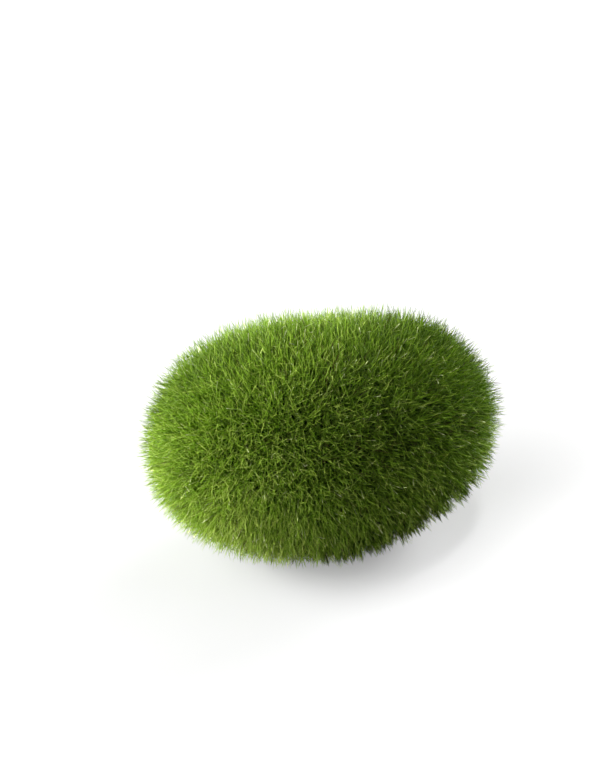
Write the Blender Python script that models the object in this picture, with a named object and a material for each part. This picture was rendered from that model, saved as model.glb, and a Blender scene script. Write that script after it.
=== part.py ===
# Moss ball: an oblong pebble of fine green moss, covered in short pointed tufts and pressed flat where it rests.
# Metres, +Z up, long axis along X, resting face at z = 0.

import math
import random

import bmesh
import bpy
from mathutils import Vector

# Driving sizes
HALF_LENGTH = 0.0428
HALF_WIDTH = 0.0307
HALF_HEIGHT = 0.0312
REST_DEPTH = 0.0293
MIDDLE_X = -0.00221
MIDDLE_Y = -0.00037
TUFT_HEIGHT = 0.0025
TUFT_HEIGHT_SPREAD = 0.0007
TUFT_LEAN = 0.0006
CUTS_PER_EDGE = 10
SEED = 41

# Broad swellings of the pebble: direction from the middle, and growth there as a share of the radius
SWELLINGS = (
    ("back shoulder at the near end", (-0.55, 0.60, 0.60), 0.099),
    ("upper shoulder at the far end", (0.75, 0.35, 0.55), 0.064),
    ("flatter front cheek", (0.10, -0.80, 0.25), -0.025),
    ("near end, low", (-0.90, -0.35, -0.10), 0.027),
    ("front cheek at the far end", (0.70, -0.65, -0.10), 0.055),
    ("shallow saddle on top", (0.00, 0.30, 0.95), -0.052),
    ("far end", (0.95, 0.00, 0.10), 0.095),
)
SWELLING_SHARPNESS = 5.0

# The tufts are full on the crown and sides, and pressed into the body underneath
PRESSED_BELOW = -0.975
FULL_ABOVE = -0.86

MOSS_GREEN = (0.063, 0.112, 0.012, 1.0)


def clear_scene():
    for item in list(bpy.data.objects):
        bpy.data.objects.remove(item, do_unlink=True)


def swollen_radius(direction):
    """Radius share of the pebble in a direction from its middle."""
    share = 1.0
    for _, towards, growth in SWELLINGS:
        nearness = direction.dot(Vector(towards).normalized())
        share += growth * math.exp(-SWELLING_SHARPNESS * (1.0 - nearness))
    return share


def pebble_point(direction):
    """Point of the tuft-tip surface in a direction from the middle of the body."""
    share = swollen_radius(direction)
    return Vector(
        (
            HALF_LENGTH * direction.x * share,
            HALF_WIDTH * direction.y * share,
            HALF_HEIGHT * direction.z * share,
        )
    )


def tuft_share(height):
    """How much of its full height a tuft has at a height, measured in half heights of the body."""
    span = (height - PRESSED_BELOW) / (FULL_ABOVE - PRESSED_BELOW)
    span = min(1.0, max(0.0, span))
    return span * span * (3.0 - 2.0 * span)


def evenly_split_sphere(bm):
    """Twenty-sided ball split into small triangles of nearly even size, on a unit sphere."""
    bmesh.ops.create_icosphere(bm, subdivisions=1, radius=1.0)
    bmesh.ops.subdivide_edges(bm, edges=bm.edges[:], cuts=CUTS_PER_EDGE, use_grid_fill=True)
    bmesh.ops.triangulate(bm, faces=bm.faces[:])
    for vert in bm.verts:
        vert.co.normalize()


def loosen_rows(bm, rng):
    """Move each point a little along the sphere, so that no rows of tufts can be seen."""
    spacing = math.sqrt(4.0 * math.pi / len(bm.verts))
    for vert in bm.verts:
        shift = Vector((rng.uniform(-1, 1), rng.uniform(-1, 1), rng.uniform(-1, 1)))
        vert.co = (vert.co + shift * spacing * 0.22).normalized()


def grow_tufts(bm, rng):
    """Sink the mesh to the foot of the tufts and raise one pointed tuft on every face."""
    bm.normal_update()
    feet = {}
    for vert in bm.verts:
        height = TUFT_HEIGHT * tuft_share(vert.co.z / HALF_HEIGHT)
        feet[vert] = vert.co - vert.normal * height
    tips = {}
    for face in bm.faces:
        middle = face.calc_center_median()
        share = tuft_share(middle.z / HALF_HEIGHT)
        lean = Vector((rng.uniform(-1, 1), rng.uniform(-1, 1), rng.uniform(-1, 1))) * TUFT_LEAN * share
        rise = rng.uniform(-0.7, 1.0) * TUFT_HEIGHT_SPREAD * share
        tips[face.index] = middle + face.normal * rise + lean
    faces = list(bm.faces)
    order = [tips[face.index] for face in faces]
    poked = bmesh.ops.poke(bm, faces=faces)
    for vert, foot in feet.items():
        vert.co = foot
    for vert, tip in zip(poked["verts"], order):
        vert.co = tip


def press_flat(bm):
    """Set the body on its resting plane, its box over the origin, and flatten what would pass through."""
    for vert in bm.verts:
        vert.co.x += MIDDLE_X
        vert.co.y += MIDDLE_Y
        vert.co.z = max(0.0, vert.co.z + REST_DEPTH)
        if vert.co.z < 0.00004:
            vert.co.z = 0.0


def moss_material():
    material = bpy.data.materials.new("moss_green")
    material.use_nodes = True
    shader = material.node_tree.nodes["Principled BSDF"]
    shader.inputs["Base Color"].default_value = MOSS_GREEN
    shader.inputs["Roughness"].default_value = 0.82
    shader.inputs["Metallic"].default_value = 0.0
    material.diffuse_color = MOSS_GREEN
    return material


def build_moss_ball(collection):
    rng = random.Random(SEED)
    bm = bmesh.new()
    evenly_split_sphere(bm)
    loosen_rows(bm, rng)
    for vert in bm.verts:
        vert.co = pebble_point(vert.co.copy())
    grow_tufts(bm, rng)
    press_flat(bm)
    bmesh.ops.recalc_face_normals(bm, faces=bm.faces[:])
    mesh = bpy.data.meshes.new("moss_ball")
    bm.to_mesh(mesh)
    bm.free()
    mesh.materials.append(moss_material())
    ball = bpy.data.objects.new("moss_ball", mesh)
    collection.objects.link(ball)
    return ball


clear_scene()
moss = bpy.data.collections.new("marimo_moss_ball")
bpy.context.scene.collection.children.link(moss)
build_moss_ball(moss)
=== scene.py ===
"""Looks of an oblong moss ball: a dark felted body under a dense pile of fine, nearly straight fibres."""

import logging
import math
from dataclasses import dataclass
from enum import Enum

import bmesh
import bpy
import numpy as np
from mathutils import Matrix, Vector
from mathutils.kdtree import KDTree


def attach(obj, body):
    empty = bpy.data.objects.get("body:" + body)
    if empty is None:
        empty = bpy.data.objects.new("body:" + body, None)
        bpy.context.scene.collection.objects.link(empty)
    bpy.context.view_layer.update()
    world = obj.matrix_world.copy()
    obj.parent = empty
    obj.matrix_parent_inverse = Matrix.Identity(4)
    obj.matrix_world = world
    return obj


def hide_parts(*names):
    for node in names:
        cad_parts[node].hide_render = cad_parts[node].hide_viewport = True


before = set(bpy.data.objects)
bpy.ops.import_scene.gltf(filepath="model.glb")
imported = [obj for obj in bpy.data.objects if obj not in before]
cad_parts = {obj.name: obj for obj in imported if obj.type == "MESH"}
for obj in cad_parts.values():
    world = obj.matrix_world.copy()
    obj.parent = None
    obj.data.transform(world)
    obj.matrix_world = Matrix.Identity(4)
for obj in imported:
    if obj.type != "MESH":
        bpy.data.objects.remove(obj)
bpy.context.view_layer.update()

LOG = logging.getLogger("moss_ball")
NODE = "moss_ball"
BODY = "root"
STRAND_MAP = "OFBake"
TINY = 1e-12

Triple = tuple[float, float, float]
Range = tuple[float, float]
Stops = tuple[tuple[float, Triple], ...]


class Zone(Enum):
    """Quarter of the ball that a piece of the pile covers, seen from the middle."""

    FRONT_NEAR = (-1, -1)
    FRONT_FAR = (1, -1)
    BACK_NEAR = (-1, 1)
    BACK_FAR = (1, 1)

    def holds(self, offsets: np.ndarray) -> np.ndarray:
        """Mask of the points, given from the ball's middle, that lie in this quarter."""
        along, across = self.value
        return ((offsets[:, 0] >= 0) == (along > 0)) & ((offsets[:, 1] >= 0) == (across > 0))


class Half(Enum):
    """Front or back half of the ball."""

    FRONT = -1
    BACK = 1

    def holds(self, offsets: np.ndarray) -> np.ndarray:
        """Mask of the points, given from the ball's middle, that lie in this half."""
        return (offsets[:, 1] >= 0) == (self.value > 0)


class FibreShape(Enum):
    """Rings between a fibre's pointed ends: each one's place along it and its share of the full width."""

    SPINDLE = ((0.76, 1.0),)
    NEEDLE = ((0.15, 0.9), (0.88, 0.9))


@dataclass(frozen=True)
class Swelling:
    """Broad low swelling of the pebble form, or a dent where the growth is below zero."""

    towards: Triple
    growth: float
    sharpness: float = 5.0


@dataclass(frozen=True)
class PebbleForm:
    """The surface that the tips of the fibres reach, the same form as the solid has."""

    half: Triple = (0.0428, 0.0307, 0.0312)
    middle: Triple = (-0.00221, -0.00037, 0.0293)
    swellings: tuple[Swelling, ...] = (
        Swelling((-0.55, 0.60, 0.60), 0.099),
        Swelling((0.75, 0.35, 0.55), 0.064),
        Swelling((0.10, -0.80, 0.25), -0.025),
        Swelling((-0.90, -0.35, -0.10), 0.027),
        Swelling((0.70, -0.65, -0.10), 0.055),
        Swelling((0.00, 0.30, 0.95), -0.052),
        Swelling((0.95, 0.00, 0.10), 0.095),
        Swelling((0.26, 0.51, 0.82), -0.028, 18.0),
        Swelling((0.82, -0.50, -0.28), 0.026, 18.0),
        Swelling((0.70, 0.23, 0.68), 0.030, 18.0),
    )
    slices: int = 301
    spokes: int = 24
    pole: float = 0.9999
    last_spoke: float = 6.0

    def points(self, directions: np.ndarray) -> np.ndarray:
        """Surface points in unit directions from the middle.

        Args:
            directions: N x 3 unit vectors.

        Returns:
            N x 3 points in metres.
        """
        share = np.ones(len(directions))
        for swelling in self.swellings:
            towards = np.array(swelling.towards) / np.linalg.norm(swelling.towards)
            share += swelling.growth * np.exp(-swelling.sharpness * (1.0 - directions @ towards))
        return np.array(self.middle) + directions * np.array(self.half) * share[:, None]

    def facing(self, directions: np.ndarray) -> tuple[np.ndarray, np.ndarray]:
        """Outward normals, and how much surface a small step of direction covers.

        Args:
            directions: N x 3 unit vectors.

        Returns:
            The unit normals, and one area weight for each direction.
        """
        step = 1e-3
        first, second = sideways(directions)
        here = self.points(directions)
        one = self.points(unit(directions + first * step)) - here
        two = self.points(unit(directions + second * step)) - here
        out = np.cross(one, two)
        area = np.linalg.norm(out, axis=1)
        out /= area[:, None]
        out *= np.sign(np.sum(out * (here - np.array(self.middle)), axis=1))[:, None]
        return out, area

    def spread(self, count: int, rng: np.random.Generator, looseness: float = 0.22) -> np.ndarray:
        """Directions that cover the surface evenly and without rows, on a spiral about the long axis.

        The surface is measured in slices across that axis, and each slice gets its share of them.

        Args:
            count: How many are wanted.
            rng: The seeded source of chance.
            looseness: How far each may stray, in spacings.

        Returns:
            N x 3 unit vectors.
        """
        places = np.linspace(-self.pole, self.pole, self.slices)
        slices, around = np.meshgrid(places, np.linspace(0.0, self.last_spoke, self.spokes), indexing="ij")
        ring = np.sqrt(1.0 - slices ** 2)
        grid = np.stack([slices, ring * np.cos(around), ring * np.sin(around)], axis=2).reshape(-1, 3)
        area = self.facing(grid)[1].reshape(slices.shape).mean(axis=1)
        share = np.concatenate([[0.0], np.cumsum(area[1:] + area[:-1])])
        along = np.interp((np.arange(count) + 0.5) / count * share[-1], share, slices[:, 0])
        turn = math.pi * (1.0 + math.sqrt(5.0)) * np.arange(count)
        ring = np.sqrt(1.0 - along ** 2)
        even = np.stack([along, ring * np.cos(turn), ring * np.sin(turn)], axis=1)
        spacing = math.sqrt(4.0 * math.pi / count)
        return unit(even + rng.normal(0.0, looseness * spacing, (count, 3)))


def unit(vectors: np.ndarray) -> np.ndarray:
    """The vectors at length one."""
    return vectors / np.maximum(np.linalg.norm(vectors, axis=1), TINY)[:, None]


def sideways(directions: np.ndarray) -> tuple[np.ndarray, np.ndarray]:
    """Two unit vectors square to each direction and to each other.

    Args:
        directions: N x 3 unit vectors.

    Returns:
        The two sets of side vectors, turning anticlockwise about the direction.
    """
    steep = 0.9
    helper = np.where(np.abs(directions[:, 2:3]) < steep, [[0.0, 0.0, 1.0]], [[1.0, 0.0, 0.0]])
    first = unit(np.cross(helper, directions))
    return first, np.cross(directions, first)


def keep_above(points: np.ndarray, floor: np.ndarray) -> None:
    """Lift points that would pass their least height over the table, in place."""
    points[:, 2] = np.maximum(points[:, 2], floor)


def broad_pattern(points: np.ndarray, size: float, seed: int) -> np.ndarray:
    """Slow patchy variation from -1 to 1 over the ball, as a sum of a few waves.

    Args:
        points: N x 3 points in metres.
        size: Typical width of a patch in metres.
        seed: Which pattern.

    Returns:
        One value for each point.
    """
    waves = 7
    finer, coarser = 1.5, 0.6
    usual_peak = 3.0
    rng = np.random.default_rng(seed)
    total = np.zeros(len(points))
    for _ in range(waves):
        wave = rng.normal(0.0, 1.0, 3)
        wave *= 2.0 * math.pi / size / np.linalg.norm(wave) * rng.uniform(coarser, finer)
        total += np.sin(points @ wave + rng.uniform(0.0, 2.0 * math.pi))
    return np.clip(total / usual_peak, -1.0, 1.0)


def node_link(tree: bpy.types.NodeTree, source: bpy.types.NodeSocket, target: bpy.types.NodeSocket) -> None:
    """Join two sockets."""
    tree.links.new(source, target)


def ramp_node(tree: bpy.types.NodeTree, stops: Stops) -> bpy.types.Node:
    """Colour ramp with the given stops.

    Args:
        tree: The material's nodes.
        stops: Place from 0 to 1, and linear colour there.

    Returns:
        The ramp node.
    """
    ramp = tree.nodes.new("ShaderNodeValToRGB")
    elements = ramp.color_ramp.elements
    while len(elements) < len(stops):
        elements.new(0.5)
    for element, (place, colour) in zip(elements, stops):
        element.position = place
        element.color = (*colour, 1.0)
    return ramp


@dataclass(frozen=True)
class StrandFinish:
    """Finish of the fibres: a strip of tints across the map, and a darker root to a lighter tip along it,
    partly the fibres' own tone and partly painted shade deep in the pile.

    Sheen is the strength of the plain shine, metallic that of the tinted one, and see_through is the
    share of the light that a fibre lets through.
    """

    name: str = "moss_strand"
    roughness: float = 0.30
    sheen: float = 0.45
    metallic: float = 0.0
    see_through: float = 0.46
    tints: Stops = (
        (0.00, (0.150, 0.080, 0.030)),
        (0.06, (0.165, 0.115, 0.035)),
        (0.10, (0.096, 0.168, 0.015)),
        (0.35, (0.203, 0.343, 0.028)),
        (0.60, (0.350, 0.560, 0.052)),
        (0.82, (0.590, 0.830, 0.100)),
        (0.92, (0.750, 0.880, 0.220)),
        (1.00, (0.960, 0.970, 0.600)),
    )
    # Darker towards the root: partly the fibres' own tone, partly painted shade deep in the pile.
    along: Stops = (
        (0.00, (0.36, 0.39, 0.30)),
        (0.42, (0.60, 0.63, 0.54)),
        (0.74, (0.95, 0.96, 0.92)),
        (1.00, (1.10, 1.07, 1.10)),
    )

    def make(self) -> bpy.types.Material:
        """Build the material.

        Returns:
            The material, which reads the fibres' own map.
        """
        material = bpy.data.materials.new(self.name)
        material.use_nodes = True
        tree = material.node_tree
        shader = tree.nodes["Principled BSDF"]
        output = tree.nodes["Material Output"]
        place = tree.nodes.new("ShaderNodeUVMap")
        place.uv_map = STRAND_MAP
        split = tree.nodes.new("ShaderNodeSeparateXYZ")
        node_link(tree, place.outputs["UV"], split.inputs["Vector"])
        tint = ramp_node(tree, self.tints)
        # Root-to-tip ramp: partly own tone, partly painted shade deep in the pile.
        along = ramp_node(tree, self.along)
        node_link(tree, split.outputs["X"], tint.inputs["Fac"])
        node_link(tree, split.outputs["Y"], along.inputs["Fac"])
        colour = tree.nodes.new("ShaderNodeMix")
        colour.data_type = "RGBA"
        colour.blend_type = "MULTIPLY"
        colour.inputs["Factor"].default_value = 1.0
        node_link(tree, tint.outputs["Color"], colour.inputs["A"])
        node_link(tree, along.outputs["Color"], colour.inputs["B"])
        node_link(tree, colour.outputs["Result"], shader.inputs["Base Color"])
        shader.inputs["Roughness"].default_value = self.roughness
        shader.inputs["Specular IOR Level"].default_value = self.sheen
        shader.inputs["Metallic"].default_value = self.metallic
        through = tree.nodes.new("ShaderNodeBsdfTranslucent")
        node_link(tree, colour.outputs["Result"], through.inputs["Color"])
        mixed = tree.nodes.new("ShaderNodeMixShader")
        mixed.inputs["Fac"].default_value = self.see_through
        node_link(tree, shader.outputs["BSDF"], mixed.inputs[1])
        node_link(tree, through.outputs["BSDF"], mixed.inputs[2])
        node_link(tree, mixed.outputs["Shader"], output.inputs["Surface"])
        return material


PALE_HAIR = StrandFinish("moss_pale_hair", roughness=0.34, sheen=1.0, metallic=0.75, see_through=0.12)


@dataclass(frozen=True)
class FeltFinish:
    """Finish of the felted body: matted very dark green, partly painted shade deep under the pile, with
    olive and brown flecks, and a matted bump.
    """

    name: str = "moss_felt"
    grain: float = 900.0
    grain_detail: float = 4.0
    grain_roughness: float = 0.7
    patches: float = 160.0
    patch_detail: float = 2.0
    patch_share: float = 0.4
    # Very dark greens: partly the felt's own tone, partly painted shade deep under the pile.
    tones: Stops = (
        (0.30, (0.010, 0.020, 0.002)),
        (0.52, (0.026, 0.050, 0.004)),
        (0.74, (0.055, 0.075, 0.010)),
    )
    bump: float = 0.6
    bump_height: float = 0.0004
    roughness: float = 0.95
    sheen: float = 0.04

    def make(self) -> bpy.types.Material:
        """Build the material.

        Returns:
            The material, with its noises on Object coordinates.
        """
        material = bpy.data.materials.new(self.name)
        material.use_nodes = True
        tree = material.node_tree
        shader = tree.nodes["Principled BSDF"]
        place = tree.nodes.new("ShaderNodeTexCoord")
        fine = tree.nodes.new("ShaderNodeTexNoise")
        fine.inputs["Scale"].default_value = self.grain
        fine.inputs["Detail"].default_value = self.grain_detail
        fine.inputs["Roughness"].default_value = self.grain_roughness
        broad = tree.nodes.new("ShaderNodeTexNoise")
        broad.inputs["Scale"].default_value = self.patches
        broad.inputs["Detail"].default_value = self.patch_detail
        for noise in (fine, broad):
            node_link(tree, place.outputs["Object"], noise.inputs["Vector"])
        blend = tree.nodes.new("ShaderNodeMix")
        blend.data_type = "FLOAT"
        blend.inputs["Factor"].default_value = self.patch_share
        node_link(tree, fine.outputs["Fac"], blend.inputs["A"])
        node_link(tree, broad.outputs["Fac"], blend.inputs["B"])
        # Very dark greens, partly painted shade deep under the pile.
        ramp = ramp_node(tree, self.tones)
        node_link(tree, blend.outputs["Result"], ramp.inputs["Fac"])
        node_link(tree, ramp.outputs["Color"], shader.inputs["Base Color"])
        bump = tree.nodes.new("ShaderNodeBump")
        bump.inputs["Strength"].default_value = self.bump
        bump.inputs["Distance"].default_value = self.bump_height
        node_link(tree, fine.outputs["Fac"], bump.inputs["Height"])
        node_link(tree, bump.outputs["Normal"], shader.inputs["Normal"])
        shader.inputs["Roughness"].default_value = self.roughness
        shader.inputs["Specular IOR Level"].default_value = self.sheen
        return material


@dataclass(frozen=True)
class SheetFinish:
    """Finish of the plain pale sheet that the ball lies on, with a little glow of its own."""

    name: str = "plain_sheet"
    colour: Triple = (0.61, 0.61, 0.61)
    roughness: float = 0.9
    sheen: float = 0.1
    glow: float = 0.27

    def make(self) -> bpy.types.Material:
        """Build the material.

        Returns:
            The plain material.
        """
        material = bpy.data.materials.new(self.name)
        material.use_nodes = True
        shader = material.node_tree.nodes["Principled BSDF"]
        shader.inputs["Base Color"].default_value = (*self.colour, 1.0)
        shader.inputs["Roughness"].default_value = self.roughness
        shader.inputs["Specular IOR Level"].default_value = self.sheen
        shader.inputs["Emission Color"].default_value = (1.0, 1.0, 1.0, 1.0)
        shader.inputs["Emission Strength"].default_value = self.glow
        return material


@dataclass
class Fibres:
    """Fibres as arrays: a root, a bend and a tip each, with a width and a tint."""

    roots: np.ndarray
    bends: np.ndarray
    tips: np.ndarray
    widths: np.ndarray
    tints: np.ndarray

    def only(self, mask: np.ndarray) -> "Fibres":
        """The fibres of a mask."""
        parts = (self.roots, self.bends, self.tips, self.widths, self.tints)
        return Fibres(*(part[mask] for part in parts))

    def joined(self, others: "Fibres") -> "Fibres":
        """These fibres and others as one set."""
        return Fibres(
            np.concatenate([self.roots, others.roots]),
            np.concatenate([self.bends, others.bends]),
            np.concatenate([self.tips, others.tips]),
            np.concatenate([self.widths, others.widths]),
            np.concatenate([self.tints, others.tints]),
        )

    def along(self, share: float) -> np.ndarray:
        """Points at a share of the way from root to tip, on a soft bow."""
        start = self.roots * (1.0 - share) ** 2
        return start + self.bends * 2.0 * share * (1.0 - share) + self.tips * share ** 2

    def outline(self, shape: FibreShape, roll: np.ndarray) -> tuple[np.ndarray, np.ndarray]:
        """Points of every needle, from root to tip, and their places on the map.

        The map's width is the strip of tints, on which a needle's three sides lie a hair apart, and its
        height is the way along the fibre.

        Args:
            shape: The rings that each needle has between its ends.
            roll: How far each needle is turned about its length.

        Returns:
            The points and the places, each by fibre and then by point.
        """
        side_step = 1.0 / 512.0
        root_place, tip_place = 0.02, 0.98
        first, second = sideways(unit(self.tips - self.roots))
        last = 3 * len(shape.value) + 1
        points = np.empty((len(roll), last + 1, 3))
        places = np.empty((len(roll), last + 1, 2))
        points[:, 0], points[:, last] = self.roots, self.tips
        places[:, 0], places[:, last] = (0.0, root_place), (0.0, tip_place)
        for ring, (share, width) in enumerate(shape.value):
            centres = self.along(share)
            for side in range(3):
                turn = roll + side * 2.0 * math.pi / 3.0
                reach = self.widths * 0.5 * width
                out = first * (np.cos(turn) * reach)[:, None] + second * (np.sin(turn) * reach)[:, None]
                points[:, 1 + 3 * ring + side] = centres + out
                places[:, 1 + 3 * ring + side] = ((side - 1) * side_step, share)
        places[:, :, 0] += self.tints[:, None]
        return points, places

    @staticmethod
    def faces(last: int) -> np.ndarray:
        """Triangles of one closed needle.

        Args:
            last: Number of its tip, where its root is point 0 and its rings lie between in threes.

        Returns:
            The three corners of each triangle.
        """
        faces = []
        for side in range(3):
            beside = (side + 1) % 3
            faces.append((0, 1 + beside, 1 + side))
            faces.append((last - 3 + side, last - 3 + beside, last))
            for low in range(1, last - 3, 3):
                faces.append((low + side, low + beside, low + 3 + beside))
                faces.append((low + side, low + 3 + beside, low + 3 + side))
        return np.array(faces)

    def mesh(self, name: str, rng: np.random.Generator, shape: FibreShape) -> bpy.types.Mesh:
        """Join the fibres into one mesh of closed, three-sided needles, pointed at both ends.

        Args:
            name: Name of the mesh.
            rng: The seeded source of chance, for the roll of each needle.
            shape: The rings that each needle has between its ends.

        Returns:
            The mesh, with its map of tint across and place along the fibre.
        """
        count = len(self.roots)
        points, places = self.outline(shape, rng.uniform(0.0, 2.0 * math.pi, count))
        size = points.shape[1]
        corners = (self.faces(size - 1)[None, :, :] + (np.arange(count) * size)[:, None, None]).reshape(-1)
        mesh = bpy.data.meshes.new(name)
        mesh.vertices.add(count * size)
        mesh.vertices.foreach_set("co", points.reshape(-1))
        mesh.loops.add(len(corners))
        mesh.loops.foreach_set("vertex_index", corners)
        mesh.polygons.add(len(corners) // 3)
        mesh.polygons.foreach_set("loop_start", np.arange(0, len(corners), 3))
        mesh.polygons.foreach_set("use_smooth", np.ones(len(corners) // 3, dtype=bool))
        strip = mesh.uv_layers.new(name=STRAND_MAP)
        strip.data.foreach_set("uv", places.reshape(-1, 2)[corners].reshape(-1))
        mesh.update(calc_edges=True)
        mesh.validate()
        return mesh


@dataclass
class MossMat:
    """The felted body under the fibres, flat where it rests.

    Below the settled height it comes nearer to the tips' surface, until it all but meets it.
    """

    form: PebbleForm
    finish: bpy.types.Material
    depth: float = 0.0080
    lumps: float = 0.0004
    lump_size: float = 0.006
    lump_seed: int = 7
    settled_height: float = 0.0075
    settled_share: float = 0.93
    settled_curve: float = 0.8
    cuts: int = 23

    def build(self) -> bpy.types.Object:
        """Model the closed body.

        Returns:
            The piece, riding on the ball's body.
        """
        bm = bmesh.new()
        bmesh.ops.create_icosphere(bm, subdivisions=1, radius=1.0)
        bmesh.ops.subdivide_edges(bm, edges=bm.edges[:], cuts=self.cuts, use_grid_fill=True)
        bmesh.ops.triangulate(bm, faces=bm.faces[:])
        directions = unit(np.array([vert.co for vert in bm.verts]))
        places = self.form.points(directions)
        out, _ = self.form.facing(directions)
        lumps = broad_pattern(places, self.lump_size, self.lump_seed) * self.lumps
        under = np.clip((self.settled_height - places[:, 2]) / self.settled_height, 0.0, 1.0)
        depth = self.depth * (1.0 - self.settled_share * under ** self.settled_curve)
        places -= out * (depth + lumps * (1.0 - under))[:, None]
        keep_above(places, np.zeros(len(places)))
        for vert, place in zip(bm.verts, places):
            vert.co = Vector(place)
        for face in bm.faces:
            face.smooth = True
        bmesh.ops.recalc_face_normals(bm, faces=bm.faces[:])
        mesh = bpy.data.meshes.new("moss_mat")
        bm.to_mesh(mesh)
        bm.free()
        return place_piece("moss_mat", mesh, self.finish)


@dataclass(frozen=True)
class Coat:
    """One layer of the pile: how many fibres, where they start and end, and how they stand.

    Depth is how far under the tips' surface the roots are, and lowest and highest are where the tips
    end, measured from it. A tail above one leaves fewer of them high. Sway is how far a fibre leans by
    itself, lean how far it follows its neighbours, and shade how much lighter the layer is: the deeper
    layers are darker as painted shade inside the pile, and the outer ones lighter as painted light.
    """

    count: int
    depth: float
    lowest: float
    highest: float
    sway: float
    width: float
    bend: float
    shade: float
    lean: float = 0.0006
    tail: float = 1.0


@dataclass(frozen=True)
class PaintedLightPatch:
    """Broad patch of painted light on the pile, or of painted shade where the amount is below zero."""

    towards: Triple
    lighter: float
    sharpness: float = 6.0

    def shade(self, directions: np.ndarray) -> np.ndarray:
        """Painted light or shade, as a change of tint in unit directions from the middle."""
        towards = np.array(self.towards) / np.linalg.norm(self.towards)
        return self.lighter * np.exp(-self.sharpness * (1.0 - directions @ towards))


@dataclass(frozen=True)
class Tinting:
    """Tint of each fibre: broad patches, painted light and shade, brighter and darker neighbours, and a few
    dead or pale ones.

    A tint is a place on the strip of tints, from 0, brown, to 1, nearly white. Most fibres are plain
    and a share is bright. Towards the glint side they differ more from each other, as painted highlights
    over dark gaps.
    """

    usual: float = 0.50
    living: Range = (0.11, 0.90)
    dead: Range = (0.0, 0.08)
    dead_share: float = 0.012
    dead_patch_share: float = 0.02
    dead_patch_size: float = 0.012
    dead_patch_seed: int = 9
    pale: Range = (0.84, 0.96)
    pale_share: float = 0.012
    bright: Range = (0.12, 0.30)
    bright_share: float = 0.22
    plain: float = -0.06
    plain_spread: float = 0.085
    broad_size: float = 0.030
    broad_seed: int = 3
    broad_gain: float = 0.06
    close_size: float = 0.009
    close_seed: int = 5
    close_gain: float = 0.02
    # Painted light: fibres lighter towards this side, where the lamps light the ball most, and darker away
    # from it.
    painted_light_side: Triple = (-0.76, -0.46, -0.46)
    painted_light_gain: float = 0.18
    # Painted highlights: towards this side the fibres' own tints spread further, for bright strands over
    # dark gaps.
    painted_glint_side: Triple = (0.77, -0.25, 0.59)
    calm: float = 0.80
    painted_glint_gain: float = 0.60
    # Painted light and shade: patches lighter or darker where the light on the ball falls brighter or
    # dimmer.
    patches: tuple[PaintedLightPatch, ...] = (
        PaintedLightPatch((-0.98, 0.21, 0.05), -0.13),
        PaintedLightPatch((0.02, -0.85, -0.52), -0.06),
        PaintedLightPatch((0.70, -0.30, 0.62), -0.05),
        PaintedLightPatch((-0.86, -0.47, 0.21), 0.10),
        PaintedLightPatch((-0.72, 0.09, 0.69), -0.12),
        PaintedLightPatch((0.16, 0.57, 0.81), 0.15),
        PaintedLightPatch((0.28, -0.96, 0.09), -0.09),
        PaintedLightPatch((0.64, -0.53, -0.56), 0.16),
        PaintedLightPatch((-0.22, -0.46, 0.86), 0.06),
    )

    def areas(self, surface: np.ndarray, directions: np.ndarray) -> np.ndarray:
        """Change of tint that neighbouring fibres share: broad random patterns, painted light towards one
        side and patches of painted light and shade.

        Args:
            surface: Where the fibres grow.
            directions: Unit directions of those points from the middle.

        Returns:
            One change for each fibre.
        """
        broad = broad_pattern(surface, self.broad_size, self.broad_seed) * self.broad_gain
        change = broad + broad_pattern(surface, self.close_size, self.close_seed) * self.close_gain
        # Painted light from one side.
        change += directions @ np.array(self.painted_light_side) * self.painted_light_gain
        # Patches of painted light and shade.
        for painted_patch in self.patches:
            change += painted_patch.shade(directions)
        return change

    def tints(self, form: PebbleForm, surface: np.ndarray, rng: np.random.Generator) -> np.ndarray:
        """Draw the tint of each fibre.

        Args:
            form: The ball's form, for its middle.
            surface: Where the fibres grow.
            rng: The seeded source of chance.

        Returns:
            Places on the strip of tints, from 0 to 1.
        """
        count = len(surface)
        directions = unit(surface - np.array(form.middle))
        bright = rng.uniform(0.0, 1.0, count) < self.bright_share
        brighter = rng.uniform(*self.bright, count)
        own = np.where(bright, brighter, rng.normal(self.plain, self.plain_spread, count))
        # Painted highlights: wider spread of tints towards the glint side.
        painted_glint_share = np.clip(directions @ np.array(self.painted_glint_side), 0.0, 1.0)
        own *= self.calm + self.painted_glint_gain * painted_glint_share
        tints = np.clip(self.usual + self.areas(surface, directions) + own, *self.living)
        chance = rng.uniform(0.0, 1.0, count)
        dead_patches = np.clip(broad_pattern(surface, self.dead_patch_size, self.dead_patch_seed), 0.0, 1.0)
        dead = chance < self.dead_share + self.dead_patch_share * dead_patches
        tints = np.where(dead, rng.uniform(*self.dead, count), tints)
        return np.where(chance > 1.0 - self.pale_share, rng.uniform(*self.pale, count), tints)

    def shaded(self, tints: np.ndarray, shade: float) -> np.ndarray:
        """The tints of a layer made lighter or darker as painted light and shade, with the dead and the
        palest fibres as they are.
        """
        alive = (tints > self.dead[1]) & (tints < self.living[1])
        return np.where(alive, np.clip(tints + shade, *self.living), tints)


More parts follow.
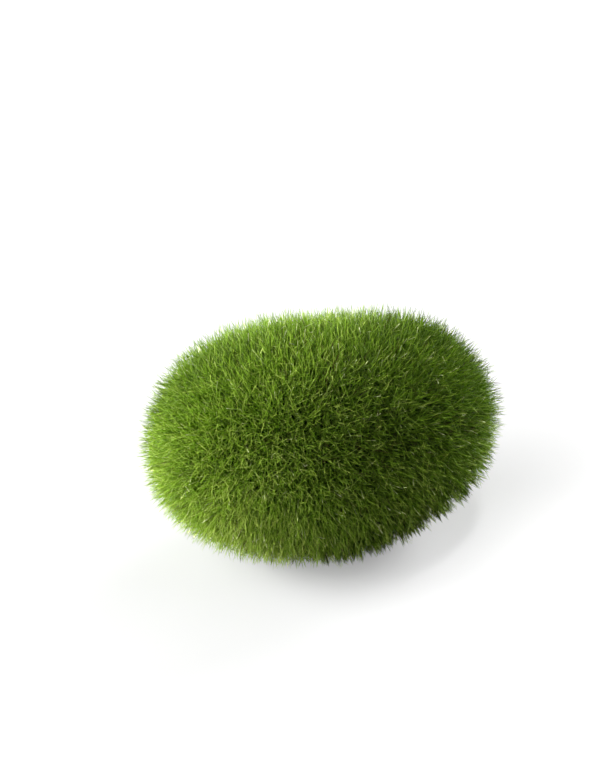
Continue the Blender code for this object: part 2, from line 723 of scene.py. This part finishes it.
@dataclass(frozen=True)
class Locks:
    """Matted area low on the far end, where the tips lie together in soft pointed locks with gaps between.

    Side and side_fade are where it starts and how softly, away from its middle, and overhang and
    overhang_fade are the same for how far the surface faces down.
    """

    count: int = 1500
    looseness: float = 0.7
    towards: Triple = (0.64, -0.59, -0.50)
    side: float = 0.45
    side_fade: float = 0.25
    overhang: float = 0.25
    overhang_fade: float = 0.2
    radius: float = 0.0014
    radius_fade: float = 0.0003
    height: Range = (0.0012, 0.0034)
    gap: float = 0.0014
    pull: float = 0.92
    pull_spread: Range = (0.7, 1.0)

    def gather(
        self,
        form: PebbleForm,
        tips: np.ndarray,
        surface: np.ndarray,
        out: np.ndarray,
        rng: np.random.Generator,
    ) -> np.ndarray:
        """Pull the tips of the matted area together, and lower those between the locks.

        Args:
            form: The ball's form.
            tips: Tips of the fibres.
            surface: The surface points that they grow under.
            out: Outward normals there.
            rng: The seeded source of chance.

        Returns:
            The moved tips.
        """
        directions = form.spread(self.count, rng, self.looseness)
        feet = form.points(directions)
        peaks = feet + form.facing(directions)[0] * rng.uniform(*self.height, self.count)[:, None]
        tree = KDTree(len(feet))
        for index, foot in enumerate(feet):
            tree.insert(Vector(foot), index)
        tree.balance()
        found = [tree.find(Vector(point)) for point in surface]
        nearest = np.array([hit[1] for hit in found])
        beside = np.array([hit[2] for hit in found])
        aside = unit(surface - np.array(form.middle)) @ np.array(self.towards)
        zone = np.clip((aside - self.side) / self.side_fade, 0.0, 1.0)
        zone = zone * np.clip((-self.overhang - out[:, 2]) / self.overhang_fade, 0.0, 1.0)
        inside = np.clip((self.radius - beside) / self.radius_fade, 0.0, 1.0)
        pull = self.pull * zone * inside * rng.uniform(*self.pull_spread, len(tips))
        lowered = tips - out * (self.gap * zone * (1.0 - inside))[:, None]
        return lowered + (peaks[nearest] - lowered) * pull[:, None]


@dataclass
class Pile:
    """The coats of fibres, from long fine ones that stand clear to the short undergrowth, darkened as
    painted shade.

    Below the settled height the fibres are shorter and a little raised, because the ball lies on them.
    """

    form: PebbleForm
    finish: bpy.types.Material
    seed: int = 11
    # Each coat's shade is painted: darker for the deep coats as shade inside the pile, lighter for the
    # outer and lying ones as light on the top fibres.
    dense: Coat = Coat(
        count=66000, depth=0.0084, lowest=-0.0048, highest=-0.0014, sway=0.0017,
        width=0.00015, bend=0.00004, shade=-0.10, lean=0.0005,
    )
    outer: Coat = Coat(
        count=24000, depth=0.0086, lowest=-0.0018, highest=0.0022, sway=0.0022,
        width=0.00012, bend=0.00004, shade=0.12, lean=0.0005, tail=1.5,
    )
    lying: Coat = Coat(
        count=13000, depth=0.0066, lowest=-0.0022, highest=0.0005, sway=0.0036,
        width=0.00012, bend=0.00006, shade=0.27,
    )
    under: Coat = Coat(
        count=14000, depth=0.0086, lowest=-0.0070, highest=-0.0058, sway=0.0014,
        width=0.00026, bend=0.00010, shade=-0.14,
    )
    locks: Locks = Locks()
    tinting: Tinting = Tinting()
    settled_height: float = 0.008
    settled_rise: float = 0.0004
    settled_share: float = 0.85
    settled_curve: float = 1.5
    lean_at_root: float = 0.9
    lean_at_tip: float = 0.1
    arch: float = 0.10
    width_spread: Range = (0.75, 1.25)
    clear_of_table: Triple = (0.0001, 0.0002, 0.0003)
    clear_spread: float = 0.0002
    tousle_size: float = 0.018
    ruffle_size: float = 0.005
    ruffle_share: float = 0.15
    tousle_seeds: tuple[int, int, int] = (31, 32, 33)
    ruffle_seeds: tuple[int, int, int] = (34, 35, 36)

    def grow(self, coat: Coat, rng: np.random.Generator) -> Fibres:
        """Grow one coat of fibres over the whole ball.

        Args:
            coat: The layer.
            rng: The seeded source of chance.

        Returns:
            The fibres.
        """
        count = coat.count
        surface = self.form.points(self.form.spread(count, rng))
        out, _ = self.form.facing(unit((surface - np.array(self.form.middle)) / np.array(self.form.half)))
        first, second = sideways(out)
        low = np.clip((self.settled_height - surface[:, 2]) / self.settled_height, 0.0, 1.0)
        sway = rng.normal(0.0, coat.sway, (count, 2))
        travel = first * sway[:, :1] + second * sway[:, 1:] + self.tousle(surface, coat.lean)
        height = coat.lowest + (coat.highest - coat.lowest) * rng.uniform(0.0, 1.0, count) ** coat.tail
        height += low * self.settled_rise
        depth = coat.depth * (1.0 - self.settled_share * low ** self.settled_curve)
        roots = surface - out * depth[:, None] - travel * self.lean_at_root
        tips = surface + out * height[:, None] + travel * self.lean_at_tip
        tips = self.locks.gather(self.form, tips, surface, out, rng)
        arch = np.linalg.norm(travel, axis=1) * self.arch
        curl = rng.normal(0.0, coat.bend, (count, 2))
        bends = roots * 0.5 + tips * 0.5 + out * arch[:, None] + first * curl[:, :1] + second * curl[:, 1:]
        for ends, clear in zip((tips, bends, roots), self.clear_of_table):
            keep_above(ends, clear + rng.uniform(0.0, self.clear_spread, count))
        widths = coat.width * rng.uniform(*self.width_spread, count)
        # Each coat's painted light or shade on top of its tints.
        tints = self.tinting.shaded(self.tinting.tints(self.form, surface, rng), coat.shade)
        return Fibres(roots, bends, tips, widths, tints)

    def tousle(self, surface: np.ndarray, strength: float) -> np.ndarray:
        """Common lean of neighbouring fibres.

        Args:
            surface: Where the fibres grow.
            strength: How far the tips are carried, in metres.

        Returns:
            N x 3 offsets.
        """
        broad = [broad_pattern(surface, self.tousle_size, seed) for seed in self.tousle_seeds]
        close = [broad_pattern(surface, self.ruffle_size, seed) for seed in self.ruffle_seeds]
        fields = [wide + self.ruffle_share * narrow for wide, narrow in zip(broad, close)]
        return np.stack(fields, axis=1) * strength

    def build(self) -> list[bpy.types.Object]:
        """Make the pieces of the coats.

        Returns:
            The pieces, riding on the ball's body.
        """
        rng = np.random.default_rng(self.seed)
        middle = np.array(self.form.middle)
        dense = self.grow(self.dense, rng)
        long = self.grow(self.outer, rng).joined(self.grow(self.lying, rng))
        under = self.grow(self.under, rng)
        layers = (
            ("pile", FibreShape.SPINDLE, Zone, dense),
            ("long_pile", FibreShape.NEEDLE, Zone, long),
            ("undergrowth", FibreShape.SPINDLE, Half, under),
        )
        pieces = []
        for layer, shape, zones, fibres in layers:
            for zone in zones:
                name = f"{layer}_{zone.name.lower()}"
                mesh = fibres.only(zone.holds(fibres.roots - middle)).mesh(name, rng, shape)
                pieces.append(place_piece(name, mesh, self.finish))
        return pieces


@dataclass
class StrayHairs:
    """Pale, shiny, nearly straight hairs that stand a little out of the pile or lie on it."""

    form: PebbleForm
    finish: bpy.types.Material
    seed: int = 23
    count: int = 1100
    looseness: float = 1.4
    lying_curve: float = 1.6
    root_depth: Range = (0.0018, 0.0040)
    length: Range = (0.0016, 0.0040)
    standing_share: float = 0.25
    rise: Range = (0.0002, 0.0016)
    sunk: float = 0.0010
    arch: float = 0.00012
    width: Range = (0.00014, 0.00019)
    clear_of_table: float = 0.0003
    white: Range = (0.96, 1.0)
    yellow: Range = (0.80, 0.95)
    yellow_share: float = 0.40

    def build(self) -> bpy.types.Object:
        """Make the hairs.

        Returns:
            The piece, riding on the ball's body.
        """
        count = self.count
        rng = np.random.default_rng(self.seed)
        directions = self.form.spread(count, rng, self.looseness)
        surface = self.form.points(directions)
        out, _ = self.form.facing(directions)
        first, second = sideways(out)
        turn = rng.uniform(0.0, 2.0 * math.pi, count)
        flat = first * np.cos(turn)[:, None] + second * np.sin(turn)[:, None]
        lying = rng.uniform(0.0, 1.0, count) ** self.lying_curve
        roots = surface - out * rng.uniform(*self.root_depth, count)[:, None]
        reach = rng.uniform(*self.length, count)
        reach = reach * (self.standing_share + (1.0 - self.standing_share) * lying)
        rise = (1.0 - lying) * rng.uniform(*self.rise, count) - lying * self.sunk
        tips = surface + flat * reach[:, None] + out * rise[:, None]
        bends = roots * 0.5 + tips * 0.5 + out * (lying * self.arch)[:, None]
        for ends in (roots, bends, tips):
            keep_above(ends, np.full(count, self.clear_of_table))
        white = rng.uniform(0.0, 1.0, count) > self.yellow_share
        white_tints = rng.uniform(*self.white, count)
        tints = np.where(white, white_tints, rng.uniform(*self.yellow, count))
        hairs = Fibres(roots, bends, tips, rng.uniform(*self.width, count), tints)
        return place_piece("stray_hairs", hairs.mesh("stray_hairs", rng, FibreShape.NEEDLE), self.finish)


def place_piece(name: str, mesh: bpy.types.Mesh, material: bpy.types.Material) -> bpy.types.Object:
    """Show a mesh as a piece of the ball.

    Args:
        name: Name of the piece.
        mesh: Its mesh, already in place.
        material: Its finish.

    Returns:
        The piece, which stands for the solid.
    """
    mesh.materials.append(material)
    piece = bpy.data.objects.new(name, mesh)
    bpy.context.scene.collection.objects.link(piece)
    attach(piece, BODY)
    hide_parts(NODE)
    return piece


@dataclass
class Table:
    """Wide plain sheet under the ball, which throws no light back onto it."""

    finish: bpy.types.Material
    side: float = 6.0
    below: float = 0.0001

    def build(self) -> bpy.types.Object:
        """Make the sheet, unseen by diffuse, glossy and transmitted rays.

        Returns:
            The sheet.
        """
        bm = bmesh.new()
        bmesh.ops.create_grid(bm, x_segments=1, y_segments=1, size=self.side / 2.0)
        for vert in bm.verts:
            vert.co.z = -self.below
        mesh = bpy.data.meshes.new("table_sheet")
        bm.to_mesh(mesh)
        bm.free()
        mesh.materials.append(self.finish)
        sheet = bpy.data.objects.new("table_sheet", mesh)
        bpy.context.scene.collection.objects.link(sheet)
        sheet.visible_diffuse = False
        sheet.visible_glossy = False
        sheet.visible_transmission = False
        return sheet


@dataclass(frozen=True)
class Lamp:
    """Soft square light aimed at the ball.

    Turn is in degrees, from the camera's right towards the camera, and rise is above the table.
    """

    name: str
    turn: float
    rise: float
    power: float
    size: float = 0.45
    distance: float = 0.70


@dataclass(frozen=True)
class SheetLamp:
    """Round lamp straight above the sheet, beside the ball, placed from the ball's middle."""

    name: str = "sheet_lamp"
    beside: float = 0.095
    nearer: float = 0.025
    height: float = 0.30
    reach: float = 0.075
    softness: float = 0.03
    power: float = 3.0


@dataclass
class Studio:
    """Soft light, most of it from the left, and the camera at the photograph's angle."""

    form: PebbleForm
    azimuth: float = -20.0
    elevation: float = 34.0
    distance: float = 0.5417
    lens: float = 100.0
    nearest: float = 0.01
    beside: float = 0.0038
    above: float = -0.0113
    backdrop: float = 0.27
    lamps: tuple[Lamp, ...] = (
        Lamp("left", turn=180.0, rise=15.0, power=9.1, size=0.40),
        Lamp("front_left", turn=135.0, rise=15.0, power=3.1),
        Lamp("high_left", turn=160.0, rise=40.0, power=2.3),
        Lamp("behind_right", turn=315.0, rise=15.0, power=7.4, size=0.40),
        Lamp("low_behind", turn=270.0, rise=5.0, power=0.7, size=0.20),
        Lamp("high_right", turn=0.0, rise=40.0, power=1.1),
    )
    sheet_lamp: SheetLamp = SheetLamp()

    def axes(self) -> tuple[Vector, Vector, Vector]:
        """Directions of the camera.

        Returns:
            Its right, its up and its back.
        """
        turn, rise = math.radians(self.azimuth), math.radians(self.elevation)
        back = Vector((math.sin(turn) * math.cos(rise), -math.cos(turn) * math.cos(rise), math.sin(rise)))
        right = Vector((math.cos(turn), math.sin(turn), 0.0))
        return right, back.cross(right), back

    def level(self) -> tuple[Vector, Vector]:
        """Level directions to the camera's right and towards the camera."""
        right, _, _ = self.axes()
        return right, Vector((right.y, -right.x, 0.0))

    def light(self, lamp: Lamp) -> None:
        """Add one soft lamp.

        Args:
            lamp: Where it stands, how large and how strong it is.
        """
        right, near = self.level()
        turn, rise = math.radians(lamp.turn), math.radians(lamp.rise)
        away = (right * math.cos(turn) + near * math.sin(turn)) * math.cos(rise)
        away += Vector((0.0, 0.0, math.sin(rise)))
        data = bpy.data.lights.new(lamp.name, "AREA")
        data.shape = "SQUARE"
        data.size = lamp.size
        data.energy = lamp.power
        item = bpy.data.objects.new(lamp.name, data)
        bpy.context.scene.collection.objects.link(item)
        item.location = Vector(self.form.middle) + away * lamp.distance
        item.rotation_euler = away.to_track_quat("Z", "Y").to_euler()

    def light_sheet(self) -> None:
        """Light the sheet beside the ball, so that the ball's long shadow fades early."""
        lamp = self.sheet_lamp
        right, near = self.level()
        data = bpy.data.lights.new(lamp.name, "SPOT")
        data.spot_size = 2.0 * math.atan(lamp.reach / lamp.height)
        data.spot_blend = 1.0
        data.shadow_soft_size = lamp.softness
        data.energy = lamp.power
        item = bpy.data.objects.new(lamp.name, data)
        bpy.context.scene.collection.objects.link(item)
        over = Vector((self.form.middle[0], self.form.middle[1], lamp.height))
        item.location = over + right * lamp.beside + near * lamp.nearer

    def hang_backdrop(self) -> None:
        """Set the plain grey that only the camera sees past the sheet, and that lights nothing."""
        world = bpy.data.worlds.new("soft_room")
        bpy.context.scene.world = world
        world.use_nodes = True
        background = world.node_tree.nodes["Background"]
        background.inputs["Color"].default_value = (1.0, 1.0, 1.0, 1.0)
        background.inputs["Strength"].default_value = self.backdrop
        seen = world.cycles_visibility
        seen.diffuse = seen.glossy = seen.transmission = seen.scatter = False

    def build(self) -> bpy.types.Object:
        """Set the camera, the lights and the backdrop.

        Returns:
            The camera.
        """
        scene = bpy.context.scene
        right, up, back = self.axes()
        target = Vector(self.form.middle) - right * self.beside - up * self.above
        data = bpy.data.cameras.new("camera")
        data.lens = self.lens
        data.clip_start = self.nearest
        data.dof.use_dof = False
        camera = bpy.data.objects.new("camera", data)
        scene.collection.objects.link(camera)
        camera.location = target + back * self.distance
        camera.rotation_euler = back.to_track_quat("Z", "Y").to_euler()
        scene.camera = camera
        for lamp in self.lamps:
            self.light(lamp)
        self.light_sheet()
        self.hang_backdrop()
        scene.view_settings.view_transform = "Standard"
        scene.view_settings.look = "None"
        return camera


def main() -> None:
    """Build the pieces in order and report each."""
    logging.basicConfig(level=logging.INFO, format="%(message)s")
    form = PebbleForm()
    built = [MossMat(form, FeltFinish().make()).build()]
    built += Pile(form, StrandFinish().make()).build()
    built.append(StrayHairs(form, PALE_HAIR.make()).build())
    for piece in built:
        LOG.info("%s: %d triangles", piece.name, len(piece.data.polygons))
    LOG.info("all pieces: %d triangles", sum(len(piece.data.polygons) for piece in built))
    Table(SheetFinish().make()).build()
    Studio(form).build()


if __name__ == "__main__":
    main()
